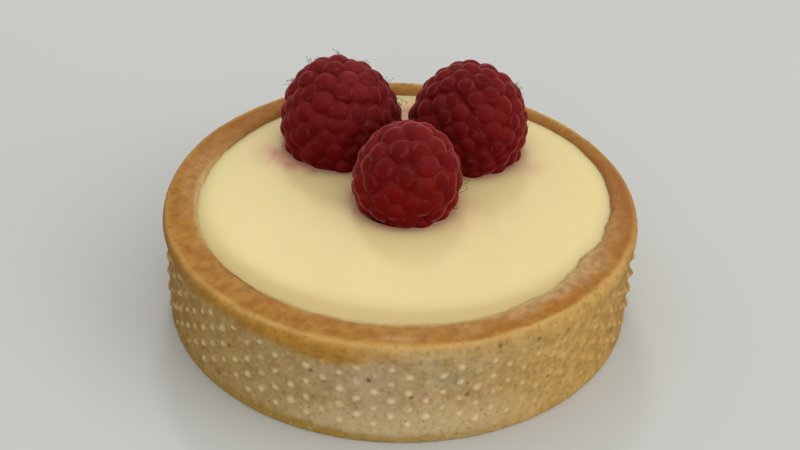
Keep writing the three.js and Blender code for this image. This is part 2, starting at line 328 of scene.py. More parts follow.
def lathe_piece(name, grid, attributes):
    """A closed mesh from a grid [column, row] whose first and last rows each close to a point."""
    columns, rows = grid.shape[:2]
    inner = grid[:, 1:-1]
    points = np.concatenate([inner.reshape(-1, 3), grid[:1, 0], grid[:1, -1]])
    first, last = len(points) - 2, len(points) - 1
    span = rows - 2
    faces = []
    for column in range(columns):
        here, there = column * span, (column + 1) % columns * span
        faces.append((first, there, here))
        for row in range(span - 1):
            faces.append((here + row, there + row, there + row + 1, here + row + 1))
        faces.append((here + span - 1, there + span - 1, last))
    flat = {
        key: np.concatenate([values[:, 1:-1].ravel(), values[:1, 0], values[:1, -1]])
        for key, values in attributes.items()
    }
    return make_piece(name, points, faces, flat)


# ---- The shortcrust shell ----


def outside_profile():
    """The wall from the middle of its underside up to the rim's rounded edge."""
    foot = (WALL_RADIUS, FOOT_ROUNDING)
    lip_bottom = (WALL_RADIUS, LIP_BOTTOM)
    wall = np.concatenate([
        [(0, 0)],
        straight((0, 0), (WALL_RADIUS - FOOT_ROUNDING, 0), 3),
        rounded_corner((WALL_RADIUS - FOOT_ROUNDING, 0), foot, 4, False),
        straight(foot, lip_bottom, WALL_ROWS),
        [lip_bottom],
        straight(lip_bottom, (RIM_RADIUS, LIP_TOP), 6),
    ])
    edge = rounded_corner((RIM_RADIUS, LIP_TOP), (RIM_RADIUS - RIM_OUTER_WIDTH, RIM_HEIGHT), 9, True)
    return wall, edge


def inside_profile():
    inner_edge = (POCKET_RADIUS + RIM_INNER_WIDTH, RIM_HEIGHT)
    inner_foot = (POCKET_RADIUS, RIM_HEIGHT - RIM_INNER_HEIGHT)
    corner_top = (POCKET_RADIUS, FLOOR_THICKNESS + POCKET_CORNER)
    corner_foot = (POCKET_RADIUS - POCKET_CORNER, FLOOR_THICKNESS)
    return np.concatenate([
        rounded_corner(inner_edge, inner_foot, 8, False),
        straight(inner_foot, corner_top, 4),
        [corner_top, corner_foot, (0, FLOOR_THICKNESS)],
    ])


def ragged_edge(inner, outward):
    """Moves the pocket's brim in and out a little, as crumbs do, with a swelling at the right front."""
    points = on_plane(inner)
    middle = inner - POCKET_OFFSET
    turn = np.arctan2(middle[..., 1], middle[..., 0])
    shift = BRIM_RAGGEDNESS * noise(points, 3.4, 55) + 0.1 * noise(points, 0.9, 56)
    shift = shift * (1 + lobe(turn, -18, 28))
    shift = shift - BRIM_SWELLING * lobe(turn, -28, 7) - 0.4 * lobe(turn, -38, 6)
    shift = shift - 0.35 * lobe(turn, -57, 8) - 0.4 * lobe(turn, -85, 13)
    shift = shift * bell(outward, 0.5, 0.9)
    away = np.maximum(np.linalg.norm(middle, axis=-1, keepdims=True), 1)
    return inner + middle / away * shift[..., None]


def outer_rows(angle):
    """Radius and height [column, row] from the underside to the rim's top, and the wall's rows."""
    wall, edge = outside_profile()
    roundness = (1 - RIM_FRONT_FULLNESS * np.sin(angle))[:, None]
    edge_radius = RIM_RADIUS - (RIM_RADIUS - edge[:, 0]) * roundness
    edge_height = RIM_HEIGHT - (RIM_HEIGHT - edge[:, 1]) * roundness
    flare_foot = FLARE_FOOT - FLARE_FRONT_DEPTH * lobe(angle, -80, 60)[:, None]
    flare = smoothstep(flare_foot, LIP_TOP, wall[:, 1])
    wall_radius = np.minimum(wall[:, 0], WALL_RADIUS) + flare * (RIM_RADIUS - WALL_RADIUS)
    wall_height = wall[:, 1] + flare * (edge_height[:, :1] - LIP_TOP)
    radius = np.concatenate([wall_radius, edge_radius], axis=1)
    height = np.concatenate([wall_height, edge_height], axis=1)
    return radius, height, len(wall)


def crust_grid():
    """The smooth shell's points [column, row], the angle of each column, and the wall's rows."""
    angle = PIMPLE_FIRST_ANGLE + np.arange(CRUST_COLUMNS) * 2 * math.pi / CRUST_COLUMNS
    radius, height, wall_rows = outer_rows(angle)
    inside = inside_profile()
    grown = 1 + unevenness(angle, WALL_WAVES)[:, None] / WALL_RADIUS
    outer = around(radius * grown, angle[:, None])
    inner_grown = (pocket_radius(angle) / POCKET_RADIUS)[:, None]
    inner = around(inside[:, 0] * inner_grown, angle[:, None]) + POCKET_OFFSET
    across = np.linspace(0, 1, RIM_TOP_ROWS + 1)[1:-1, None]
    top = outer[:, -1:] * (1 - across) + inner[:, :1] * across
    inner = ragged_edge(inner, inside[:, 0] - POCKET_RADIUS)
    level = np.concatenate([outer, top, inner], axis=1)
    flat = np.full((len(angle), len(across)), RIM_HEIGHT)
    sunk = np.broadcast_to(inside[:, 1], (len(angle), len(inside)))
    height = np.concatenate([height, flat, sunk], axis=1)
    lift = smoothstep(LIP_BOTTOM - 1, LIP_TOP, height) * unevenness(angle, RIM_WAVES)[:, None]
    return np.dstack([level, height + lift]), angle, wall_rows


def pimple_sizes():
    """The size of each pimple by [column, row], drawn in the solids' order."""
    random = seeded_random(PIMPLE_SEED)
    sizes = np.zeros((PIMPLE_COLUMNS, 5))
    for column in range(PIMPLE_COLUMNS):
        lowest = PIMPLE_LOWEST + column % 2 * PIMPLE_PITCH / 2
        for row in range(math.ceil((PIMPLE_HIGHEST - lowest) / PIMPLE_PITCH)):
            sizes[column, row] = PIMPLE_SIZE_LEAST + PIMPLE_SIZE_SPREAD * next(random)
    return sizes


def pimple_relief(angle, height):
    """At each point a pimple's relief, its pale tip, and that pimple's own random number."""
    turn = (angle - PIMPLE_FIRST_ANGLE) / (2 * math.pi) * PIMPLE_COLUMNS
    column = np.rint(turn).astype(int)
    sideways = (turn - column) * 2 * math.pi / PIMPLE_COLUMNS * WALL_RADIUS
    column %= PIMPLE_COLUMNS
    lowest = PIMPLE_LOWEST + column % 2 * PIMPLE_PITCH / 2
    row = np.rint((height - lowest) / PIMPLE_PITCH).astype(int)
    upward = height - lowest - row * PIMPLE_PITCH
    sizes = pimple_sizes()
    numbers = np.random.default_rng(PIMPLE_SEED).uniform(0, 1, sizes.shape)
    there = (row >= 0) & (row < sizes.shape[1])
    row = np.clip(row, 0, sizes.shape[1] - 1)
    size = np.where(there, sizes[column, row], 0)
    away = np.hypot(sideways, upward) / (PIMPLE_RADIUS * PIMPLE_SPREAD * np.maximum(size, 0.01))
    dome = smoothstep(1, 0.1, away) * (size > 0)
    tip = smoothstep(1.05, 0.25, away) * (size > 0)
    return PIMPLE_HEIGHT * size * dome, tip, numbers[column, row]


# The zones lie where the photo shows them. A lobe's direction and width are in degrees.


class CrustPlaces:
    """What the crust's zones of colour are measured by, at each point [column, row].

    Fine and drift are uneven everywhere. Outward is how far a point lies outside the pocket's
    brim, and beyond how far outside the rim's top. Upper is 1 on the rim and 0 on the wall.
    """

    def __init__(self, grid, angle, wall_rows):
        self.grid = grid
        self.x, self.y, self.z = np.moveaxis(grid, -1, 0)
        self.turn = np.broadcast_to(angle[:, None], self.z.shape)
        self.on_wall = np.arange(grid.shape[1])[None, :] < wall_rows
        self.high = self.z > RIM_ZONE_FOOT
        self.upper = smoothstep(LIP_BOTTOM + 0.3, LIP_TOP - 0.2, self.z)
        self.fine = noise(grid, 3, 52)
        self.drift = noise(grid, 9, 51) * 0.8 + self.fine * 0.5
        pocket_x, pocket_y = self.x - POCKET_OFFSET[0], self.y - POCKET_OFFSET[1]
        self.outward = np.hypot(pocket_x, pocket_y) - pocket_radius(np.arctan2(pocket_y, pocket_x))
        rim_top = RIM_RADIUS - RIM_OUTER_WIDTH * (1 - RIM_FRONT_FULLNESS * np.sin(self.turn))
        beyond = np.hypot(self.x, self.y) - rim_top + 0.15 * self.fine
        self.beyond = beyond - 0.6 * self.lobe(185, 50) - 0.9 * self.lobe(5, 42)

    def lobe(self, direction, width):
        return lobe(self.turn, direction, width)


def band_zone(at, rim):
    """The browner band under the lip. It hangs lower in places at the left front."""
    foot = LIP_BOTTOM + 0.9 - 2.6 * at.lobe(-104, 9) - 0.5 * at.lobe(-120, 10)
    foot = foot - 0.6 * at.lobe(-145, 22)
    band = smoothstep(foot - 1.1, foot + 1.1, at.z + 0.7 * at.drift) * (1 - rim)
    left_front = at.lobe(-115, 20) + 0.4 * at.lobe(-148, 24)
    return band * np.clip(0.1 + 1.2 * left_front + 0.5 * at.lobe(180, 60), 0, 1)


def rim_highlight_zone(at):
    """A painted highlight: the pale line where light catches the rim's rounded outer edge, weaker at both
    sides.
    """
    width = 0.5 + 0.3 * at.lobe(-94, 14) + 0.1 * at.lobe(-120, 30)
    edge = bell(at.beyond, 0.1, width) * at.upper
    edge = edge * (1 - 0.7 * at.lobe(185, 45) - 0.6 * at.lobe(5, 40))
    return edge * (0.75 + 0.25 * noise(at.grid, 4, 53))


def crumb_zone(at):
    """Pale crumbs round the brim, thickest at the right front."""
    crumb = smoothstep(4.6, 1.4, at.outward + 1.3 * at.drift) * at.high
    return crumb * (0.15 + 0.85 * at.lobe(-41, 25) + 0.35 * at.lobe(175, 16))


def film_zone(at):
    """A pale film along the brim, in front and at the left."""
    film = bell(at.outward, 0.35 + 0.25 * at.fine, 0.55 + 0.5 * at.lobe(-40, 25)) * at.high
    return film * (at.lobe(-90, 70) + 0.6 * at.lobe(178, 26))


def orange_zone(at):
    """Warmer patches on the rim's top in front."""
    orange = at.lobe(-76, 13) * bell(at.outward, 2.7, 1.1)
    orange = orange + 0.8 * at.lobe(-43, 8) * bell(at.outward, 3.9, 0.8)
    return orange * smoothstep(-0.5, 0.4, at.drift)


def pale_zone(at):
    """The pale patch at the front of the rim."""
    patch = bell(at.x, -0.4, 3) * bell(at.y, -36.5 + 0.3 * at.fine, 0.7)
    return patch * (0.6 + 0.8 * noise(at.grid, 1.2, 54))


def foot_zone(at):
    """The browner foot of the wall at the left front."""
    top = 1.1 + 0.9 * at.lobe(-120, 36) + 0.4 * at.fine
    foot = smoothstep(top + 0.6, top - 0.6, at.z + 0.4 * at.drift) * at.on_wall
    return foot * (0.1 + 0.9 * at.lobe(-112, 40))


def gold_zone(at):
    """The golden stretches of the wall, at the right front and behind."""
    gold = at.lobe(-42, 27) + 0.7 * at.lobe(60, 80)
    return gold + 0.35 * smoothstep(14, 18, at.z) * at.lobe(-74, 24)


def patches(at, places):
    return sum(
        strength * at.lobe(direction, wide) * bell(at.z, height, tall)
        for direction, wide, height, tall, strength in places
    )


def crust_zones(at):
    """The crust's zones of colour, each as a share by [column, row]."""
    rim = smoothstep(0.6, 0.1, at.beyond) * at.upper
    # Low is painted bounce light: the lower wall in front is made paler, as if lit from the floor.
    low = smoothstep(9, 4, at.z + at.drift) * smoothstep(0.3, 3, at.z) * at.lobe(-88, 34)
    grey = at.lobe(-92, 27) * (1 - 0.25 * smoothstep(16, 18.4, at.z))
    side = at.lobe(180, 52) + 0.75 * at.lobe(-8, 20)
    # A dark line at the left front brim: painted shade in a crack.
    crack_shade = bell(at.outward, 0.8 + 0.4 * at.fine, 0.2) * at.lobe(-136, 9) * at.high
    brown = at.lobe(128, 32) + 0.9 * at.lobe(8, 28)
    shares = dict(
        rim=rim,
        band=band_zone(at, rim),
        edge=rim_highlight_zone(at),
        crumb=crumb_zone(at),
        foot=foot_zone(at),
        low=low * at.on_wall,
        gold=gold_zone(at) * (1 + 0.5 * at.drift),
        grey=grey * (1 + 0.3 * at.drift),
        side=side * (1 + 0.3 * at.drift),
        moss=patches(at, MOSS_PATCHES) * (0.9 + 0.6 * at.fine),
        rosy=patches(at, ROSY_PATCHES) * (0.9 + 0.6 * at.fine),
        orange=orange_zone(at),
        pale=pale_zone(at) * rim,
        crack_shade=crack_shade,
        film=film_zone(at),
        brown=brown * (1 + 0.4 * at.drift),
    )
    return {key: np.clip(share, 0, 1) for key, share in shares.items()}


def crust_grain(grid, zones):
    """Layers of fine relief: all over, streaks on the rim, and crumbs round the brim."""
    streaks = noise(grid / (3, 0.7, 1), 1, 64)
    return (
        0.04 * noise(grid, 2.5, 62) + 0.03 * noise(grid, 0.8, 63),
        zones["rim"] * (0.05 * streaks + 0.03 * noise(grid, 0.7, 65)),
        zones["crumb"] * (0.2 * noise(grid, 1.4, 66) + 0.12 * noise(grid, 0.7, 67)),
    )


def make_crust():
    grid, angle, wall_rows = crust_grid()
    at = CrustPlaces(grid, angle, wall_rows)
    zones = crust_zones(at)
    pimpled = at.on_wall & (at.z < LIP_BOTTOM) & (at.z > PIMPLES_FROM)
    relief, tip, number = pimple_relief(np.arctan2(at.y, at.x), at.z)
    right_front = at.lobe(-44, 20)
    strength = 1 - 0.5 * at.lobe(-90, 50) - 0.4 * right_front - 0.35 * at.lobe(188, 40)
    out = relief * (strength + 0.15 * noise(grid, 6, 61)) * pimpled
    for layer in crust_grain(grid, zones):
        out += layer
    out *= smoothstep(0, 0.4, at.z)
    shown = smoothstep(-0.15, 0.45, number) * (1 - 0.55 * right_front) * (1 - 0.35 * zones["side"])
    zones["tip"] = tip * pimpled * shown * (1 - 0.2 * at.lobe(-10, 25))
    return lathe_piece("tart_crust", grid + grid_normals(grid) * out[..., None], zones)


# ---- The raspberries' form ----


def unit(vectors):
    return vectors / np.linalg.norm(vectors, axis=-1, keepdims=True)


def berry_reach(directions, berry):
    """How far a berry reaches from its middle in each direction, before it is tilted."""
    fuller = 1 + BERRY_FULLNESS * (1 - directions[..., 2]) / 2
    stretched = directions / (1, 1, berry["stretch"])
    return berry["radius"] * fuller / np.linalg.norm(stretched, axis=-1)


def place_berry(points, berry):
    """Tilts points about a berry's middle and puts them where the berry sits."""
    tilt_x, tilt_y = berry["tilt"]
    turn = Matrix.Rotation(tilt_y, 3, "Y") @ Matrix.Rotation(tilt_x, 3, "X")
    return points @ np.array(turn).T + (*berry["at"], POSSET_TOP + berry["rise"])


def berry_contact(berry):
    """Middle and radius of the ring in which a berry meets the posset's top."""
    around_it = np.linspace(0, 2 * math.pi, 48, endpoint=False)[:, None]
    downward = np.linspace(0.3 * math.pi, 0.95 * math.pi, 60)[None, :]
    level = around(np.sin(downward), around_it)
    directions = np.dstack([level, np.broadcast_to(np.cos(downward), level.shape[:2])])
    points = place_berry(directions * berry_reach(directions, berry)[..., None], berry)
    ring = np.array([
        [np.interp(-POSSET_TOP, -column[:, 2], column[:, axis]) for axis in (0, 1)] for column in points
    ])
    middle = ring.mean(axis=0)
    return middle, np.linalg.norm(ring - middle, axis=1).mean()


# ---- The posset ----


def away_from_berries(level):
    """For each berry, how far points lie outside the ring in which it meets the posset."""
    for berry in BERRIES.values():
        middle, contact = berry_contact(berry)
        yield distance(level, middle) - contact


def posset_height(level, inward):
    """The posset's surface above a point that lies a distance inward from its edge."""
    share = np.clip(inward / POSSET_SHOULDER_WIDTH, 0, 1)
    height = POSSET_TOP - POSSET_SHOULDER_HEIGHT * (1 - np.sqrt(1 - (1 - share) ** 2))
    points = on_plane(level)
    height = height + 0.06 * noise(points, 12, 71) * share + 0.01 * noise(points, 3, 72)
    under = POSSET_TOP - BERRY_SINK - GAP
    for away in away_from_berries(level):
        height = height - POSSET_DIP * bell(np.maximum(away, 0), 0, POSSET_DIP_WIDTH)
        height = under + (height - under) * smoothstep(HOLLOW_INNER, HOLLOW_OUTER, away)
    return height


def posset_creep(level, angle, inward):
    """How far the posset creeps up the crust, most of all at the left and the right."""
    x, y = np.moveaxis(level, -1, 0)
    creep = POSSET_CREEP * smoothstep(0, 0.8, noise(np.stack([x, y, x], axis=-1), 1.3, 73))
    creep *= lobe(angle, 176, 18)[:, None] + 0.8 * lobe(angle, 24, 14)[:, None] + 0.25
    return creep * bell(inward, 0, POSSET_CREEP_WIDTH)[None, :]


def posset_below(angle, grown, side):
    """The hidden rows of points from the middle of the posset's underside up its side."""
    floor = FLOOR_THICKNESS + GAP
    corner = ((side - POCKET_CORNER, floor), (side, floor + POCKET_CORNER))
    rows = []
    for radius, height in ((0, floor), *corner, (side, POSSET_SIDE_TOP)):
        ring = around(radius * grown, angle) + POCKET_OFFSET
        rows.append(np.concatenate([ring, np.full((len(angle), 1), height)], axis=1))
    return np.stack(rows, axis=1)


def posset_stain_and_shade(level):
    """Juice stains beside the berries, and painted pink shade round their feet and between the back ones.
    """
    points = on_plane(level)
    blotch = 0.75 + 0.35 * noise(points, 2.2, 81) + 0.2 * noise(points, 0.9, 82)
    pool = sum(strength * bell(distance(level, place), 0, width) for place, width, strength in STAINS_AND_SHADE)
    ring = 0
    for away in away_from_berries(level):
        # A narrow ring of juice at each berry's foot, and a wide ring of painted shade round it.
        ring = ring + bell(np.maximum(away, 0), 0, 0.8) + 0.3 * bell(np.maximum(away, 0), 0, 4)
    return np.clip(0.9 * pool * blotch + 0.45 * ring, 0, 1)


def posset_edge_shade(angle, depth):
    """Painted shade: how much darker the posset is towards its rounded edge, most of all in front."""
    edge = bell(depth, 0, 2.8)[None, :] * (0.35 + 0.65 * lobe(angle, -105, 60)[:, None])
    return edge + 0.65 * bell(depth, 0, 7)[None, :] * lobe(angle, -95, 60)[:, None]


def make_posset():
    angle = np.arange(POSSET_COLUMNS) * 2 * math.pi / POSSET_COLUMNS
    side = POCKET_RADIUS + POSSET_REACH
    fine = np.arange(0, POSSET_FINE_WIDTH, POSSET_FINE_STEP)
    inward = np.concatenate([fine, np.arange(POSSET_FINE_WIDTH, side, POSSET_STEP)])
    grown = pocket_radius(angle) / POCKET_RADIUS
    level = around((side - inward)[None, :] * grown[:, None], angle[:, None]) + POCKET_OFFSET
    height = posset_height(level, inward[None, :]) + posset_creep(level, angle, inward)
    top = np.dstack([level, height])
    below = posset_below(angle, grown, side)
    centre = np.broadcast_to(top[:, -1:].mean(axis=0), (len(angle), 1, 3))
    grid = np.concatenate([below, top, centre], axis=1)
    depth = np.concatenate([np.zeros(below.shape[1]), inward, [side]])
    zones = dict(stain_and_shade=posset_stain_and_shade(grid[..., :2]), edge=posset_edge_shade(angle, depth))
    return lathe_piece("lemon_posset", grid, zones)


# ---- The raspberries ----


def drupelet_directions(berry, random):
    """The solids' spiral of drupelets, from the berry's tip to its foot."""
    golden_angle = math.pi * (3 - math.sqrt(5))
    count = berry["drupelets"]
    reach = 2 * berry["stray"] * math.sqrt(4 * math.pi / count)
    directions = []
    for k in range(count):
        height = 1 - 2 * (k + 0.5) / count
        across = math.sqrt(1 - height * height)
        even = (across * math.cos(k * golden_angle), across * math.sin(k * golden_angle), height)
        directions.append([part + (next(random) - 0.5) * reach for part in even])
    return unit(np.array(directions))


def cell_corners(directions):
    """For each drupelet its cell's corners in order: (direction, the drupelets that meet there)."""
    hull = bmesh.new()
    for direction in directions:
        hull.verts.new(direction)
    hull.verts.index_update()
    bmesh.ops.convex_hull(hull, input=hull.verts[:])
    corners = [[] for _ in directions]
    for face in hull.faces:
        members = [vertex.index for vertex in face.verts]
        a, b, c = directions[members[:3]]
        normal = unit(np.cross(b - a, c - a))
        normal = normal if normal @ a > 0 else -normal
        for k in members:
            corners[k].append((normal, members))
    hull.free()
    for k, middle in enumerate(directions):
        east = unit(np.cross((0, 0, 1), middle))
        north = np.cross(middle, east)
        corners[k].sort(key=lambda corner: math.atan2(corner[0] @ north, corner[0] @ east))
    return corners


class Raspberry:
    """A berry's drupelets by the solids' rule."""

    def __init__(self, berry):
        random = seeded_random(berry["seed"])
        self.berry = berry
        self.directions = drupelet_directions(berry, random)
        spacing = berry["radius"] * math.sqrt(4 * math.pi / berry["drupelets"])
        self.ball = DRUPELET_BALL * spacing
        stray = np.array([next(random) - 0.5 for _ in self.directions]) * DRUPELET_HEIGHTS
        self.depths = berry_reach(self.directions, berry) - self.ball + stray

    def surface(self, k, directions):
        """How far from the berry's middle rays leave drupelet k's ball."""
        cosine = np.clip(directions @ self.directions[k], -1, 1)
        reach = self.ball**2 - self.depths[k] ** 2 * (1 - cosine**2)
        return self.depths[k] * cosine + np.sqrt(np.maximum(reach, DRUPELET_DEEPEST * self.ball**2))

    def valley(self, corner):
        direction, members = corner
        return np.mean([self.surface(k, direction) for k in members])

    def border(self, k, corners):
        """Directions and distances round drupelet k where it meets its neighbours."""
        directions, distances = [], []
        for corner, following in zip(corners, corners[1:] + corners[:1]):
            pair = sorted(set(corner[1]) & set(following[1]))
            share = np.arange(DRUPELET_EDGE_STEPS)[:, None] / DRUPELET_EDGE_STEPS
            between = unit(corner[0] * (1 - share) + following[0] * share)
            both = np.mean([self.surface(member, between) for member in pair], axis=0)
            ends = [np.mean([self.surface(m, end[0]) for m in pair]) for end in (corner, following)]
            start, stop = self.valley(corner) - ends[0], self.valley(following) - ends[1]
            directions.append(between)
            distances.append(both + start * (1 - share[:, 0]) + stop * share[:, 0])
        return np.concatenate(directions), np.concatenate(distances) + CREASE_FILL

    def place(self, points):
        return place_berry(points, self.berry)

    def patch(self, k, rim, distances):
        """Drupelet k's points: its crown, then rings outward to its border."""
        gap = distances - self.surface(k, rim)
        points = [self.directions[k][None] * self.surface(k, self.directions[k])]
        steps = np.arange(1, DRUPELET_RINGS + 1) / DRUPELET_RINGS
        for share in 1 - (1 - steps) ** RING_CROWDING:
            towards = unit(self.directions[k] * (1 - share) + rim * share)
            distance = self.surface(k, towards) + gap * share**CREASE_SHARPNESS
            points.append(towards * distance[:, None])
        return np.concatenate(points)

    def painted_fuzz_sheen(self, k, points, tone):
        """Painted sheen: how strong the pale ring of fuzz catching light is at each of drupelet k's
        points.
        """
        spacing = math.sqrt(4 * math.pi / len(self.directions))
        away = np.arccos(np.clip(unit(points) @ self.directions[k], -1, 1)) / spacing
        place = FUZZ_SHEEN_RING + FUZZ_SHEEN_RING_WIDTH * (tone - 0.5)
        return bell(away, place, FUZZ_SHEEN_RING_WIDTH) * (1 - 0.6 * tone)

    def mesh_parts(self):
        """Points, faces, and for each point the drupelet's tone and its ring of painted fuzz sheen."""
        tones = np.random.default_rng(self.berry["seed"]).uniform(0, 1, len(self.directions))
        points, faces, tone, ring = [], [], [], []
        count = 0
        for k, corners in enumerate(cell_corners(self.directions)):
            rim, distances = self.border(k, corners)
            patch = self.patch(k, rim, distances)
            faces += patch_faces(count, len(rim))
            points.append(patch)
            tone.append(np.full(len(patch), tones[k]))
            ring.append(self.painted_fuzz_sheen(k, patch, tones[k]))
            count += len(patch)
        return np.concatenate(points), faces, np.concatenate(tone), np.concatenate(ring)


def patch_faces(crown, sectors):
    """Faces between a drupelet's crown and its rings, which have one point a sector."""
    faces = []
    for step in range(DRUPELET_RINGS):
        start = crown + 1 + (step - 1) * sectors
        for sector in range(sectors):
            following = (sector + 1) % sectors
            outer = (start + sectors + sector, start + sectors + following)
            if step == 0:
                faces.append((crown, *outer))
            else:
                faces.append((start + sector, *outer, start + following))
    return faces


def weld(piece):
    """Joins points that lie on each other along the drupelets' shared borders."""
    body = bmesh.new()
    body.from_mesh(piece.data)
    bmesh.ops.remove_doubles(body, verts=body.verts[:], dist=WELD_DISTANCE * MM)
    bmesh.ops.dissolve_degenerate(body, edges=body.edges[:], dist=WELD_DISTANCE * MM)
    body.to_mesh(piece.data)
    body.free()


def make_berry(side, raspberry):
    points, faces, tone, ring = raspberry.mesh_parts()
    points = raspberry.place(points)
    outward = unit(points - points.mean(axis=0))
    points += outward * (DRUPELET_UNEVENNESS * noise(points, 0.9, 91))[:, None]
    points[:, 2] = np.maximum(points[:, 2], POSSET_TOP - BERRY_SINK)
    bloom_and_painted_light = raspberry.berry["bloom_and_painted_light"] * (0.7 + 0.6 * tone)
    piece = make_piece(f"berry_{side}", points, faces, dict(tone=tone, bloom_and_painted_light=bloom_and_painted_light, ring=ring))
    weld(piece)
    return piece


def style_path(root, start, bend, length):
    """A hair's points: it leaves straight and bends over more and more."""
    share = np.linspace(0, 1, STYLE_STEPS)[:, None]
    return root + length * (start * (share - 0.25 * share**3) + bend * 0.8 * share**2)


def tube(path, radius):
    """Points and faces of a closed tube along a path. It thins, and its tip is a small knob."""
    forward = unit(np.gradient(path, axis=0))
    aside = unit(np.cross(forward, (0.31, 0.52, 0.8)))
    other = np.cross(forward, aside)
    turn = np.arange(STYLE_SIDES) * 2 * math.pi / STYLE_SIDES
    share = np.linspace(0, 1, len(path))
    width = radius * (1.2 - 0.6 * share + 1.5 * bell(share, 0.96, 0.08))[:, None, None]
    ring = aside[:, None] * np.cos(turn)[:, None] + other[:, None] * np.sin(turn)[:, None]
    points = (path[:, None] + ring * width).reshape(-1, 3)
    faces = [tuple(range(STYLE_SIDES))[::-1], tuple(range(len(points) - STYLE_SIDES, len(points)))]
    for step in range(len(path) - 1):
        for side in range(STYLE_SIDES):
            here, there = step * STYLE_SIDES + side, step * STYLE_SIDES + (side + 1) % STYLE_SIDES
            faces.append((here, there, there + STYLE_SIDES, here + STYLE_SIDES))
    return points, faces


def style_list(raspberry, draw):
    """Where each hair stands, how it leans and bends, and its length: tufts, then lone ones."""
    hairs = []
    for direction, lean, bend, count, length in raspberry.berry["tufts"]:
        for _ in range(count):
            stand = unit(np.array(direction) + TUFT_SPREAD * draw.normal(size=3))
            bent = np.array(bend) + STYLE_SWAY * draw.normal(size=3)
            hairs.append((stand, np.array(lean), bent, length * draw.uniform(0.6, 1.1)))
    for middle in raspberry.directions[draw.uniform(size=len(raspberry.directions)) < LONE_STYLES]:
        stand = unit(middle + TUFT_SPREAD * draw.normal(size=3))
        bent = 0.5 * unit(draw.normal(size=3))
        hairs.append((stand, np.zeros(3), bent, LONE_STYLE_LENGTH))
    return hairs


def make_styles(side, raspberry):
    """The dry hairs that stand on a berry."""
    draw = np.random.default_rng(raspberry.berry["seed"] + 100)
    middle = raspberry.place(np.zeros(3))
    points, faces, count = [], [], 0
    for stand, lean, bend, length in style_list(raspberry, draw):
        k = np.argmax(raspberry.directions @ stand)
        root = raspberry.place(stand * (raspberry.surface(k, stand) - STYLE_ROOT))
        start = unit(unit(root - middle) + lean + STYLE_SWAY * draw.normal(size=3))
        if root[2] < POSSET_TOP + STYLE_LOWEST:
            continue
        tube_points, tube_faces = tube(style_path(root, start, bend, length), STYLE_RADIUS)
        points.append(tube_points)
        faces += [tuple(index + count for index in face) for face in tube_faces]
        count += len(tube_points)
    return make_piece(f"styles_{side}", np.concatenate(points), faces)


# ---- Materials ----


def colour(red, green, blue):
    """A colour given as 0 to 255 on a screen, in the linear values that shaders take."""
    parts = np.array([red, green, blue]) / 255
    linear = np.where(parts <= 0.04045, parts / 12.92, ((parts + 0.055) / 1.055) ** 2.4)
    return (*linear.tolist(), 1)


class Shader:
    """A material's nodes, made one call at a time."""

    def __init__(self, name, **values):
        self.material = bpy.data.materials.new(name)
        self.material.use_nodes = True
        self.nodes = self.material.node_tree.nodes
        self.surface = self.nodes["Principled BSDF"]
        self.fill(self.surface, values)
        self.place = self.node("ShaderNodeTexCoord").outputs["Object"]

    def put(self, socket, value):
        if isinstance(value, bpy.types.NodeSocket):
            self.material.node_tree.links.new(value, socket)
        else:
            socket.default_value = value

    def fill(self, node, values):
        """Gives each named socket a value or another node's output."""
        for key, value in values.items():
            self.put(node.inputs[key.replace("_", " ")], value)

    def node(self, kind, **values):
        node = self.nodes.new(kind)
        self.fill(node, values)
        return node

    def attribute(self, name):
        node = self.node("ShaderNodeAttribute")
        node.attribute_name = name
        return node.outputs["Fac"]

    def upward(self):
        """How much the surface faces up, from -1 to 1."""
        normal = self.node("ShaderNodeNewGeometry").outputs["Normal"]
        return self.node("ShaderNodeSeparateXYZ", Vector=normal).outputs["Z"]

    def noise(self, size, detail, roughness=0.5):
        look = dict(Scale=1 / (size * MM), Detail=detail, Roughness=roughness)
        return self.node("ShaderNodeTexNoise", Vector=self.place, **look).outputs["Fac"]

    def cells(self, size):
        """Distance to the nearest point of a scatter, and that point's own random number."""
        node = self.node("ShaderNodeTexVoronoi", Vector=self.place, Scale=1 / (size * MM))
        split = self.node("ShaderNodeSeparateColor", Color=node.outputs["Color"])
        return node.outputs["Distance"], split.outputs[0]

    def ramp(self, value, low, high, to_low=0, to_high=1):
        node = self.node("ShaderNodeMapRange")
        node.interpolation_type = "SMOOTHSTEP"
        for socket, given in zip(node.inputs, (value, low, high, to_low, to_high)):
            self.put(socket, given)
        return node.outputs[0]

    def math(self, operation, first, second):
        node = self.node("ShaderNodeMath")
        node.operation = operation
        self.put(node.inputs[0], first)
        self.put(node.inputs[1], second)
        return node.outputs[0]

    def mix(self, first, second, share):
        """Two colours mixed, each of them a socket or 0 to 255 as on a screen."""
        node = self.node("ShaderNodeMix")
        node.data_type = "RGBA"
        self.put(node.inputs[0], share)
        for socket, given in ((node.inputs[6], first), (node.inputs[7], second)):
            self.put(socket, colour(*given) if isinstance(given, tuple) else given)
        return node.outputs[2]

    def soft(self, zone, most):
        """A zone's share with softer borders, at most the given number."""
        return self.ramp(self.attribute(zone), 0, 1, 0, most)

    def tint(self, base, zone, other):
        """A colour with another one where a zone lies."""
        return self.mix(base, other, self.attribute(zone))

    def specks(self, size, radius, share):
        """Scattered dots of a radius, in the given share of cells of a size."""
        distance, number = self.cells(size)
        dot = self.ramp(distance, radius / size, 0.2 * radius / size)
        chosen = self.ramp(number, share, share - 0.02)
        return self.math("MULTIPLY", dot, chosen)

    def paint(self, value):
        self.put(self.surface.inputs["Base Color"], value)

    def bump(self, height, depth, strength):
        node = self.node("ShaderNodeBump", Height=height, Distance=depth * MM, Strength=strength)
        self.put(self.surface.inputs["Normal"], node.outputs["Normal"])


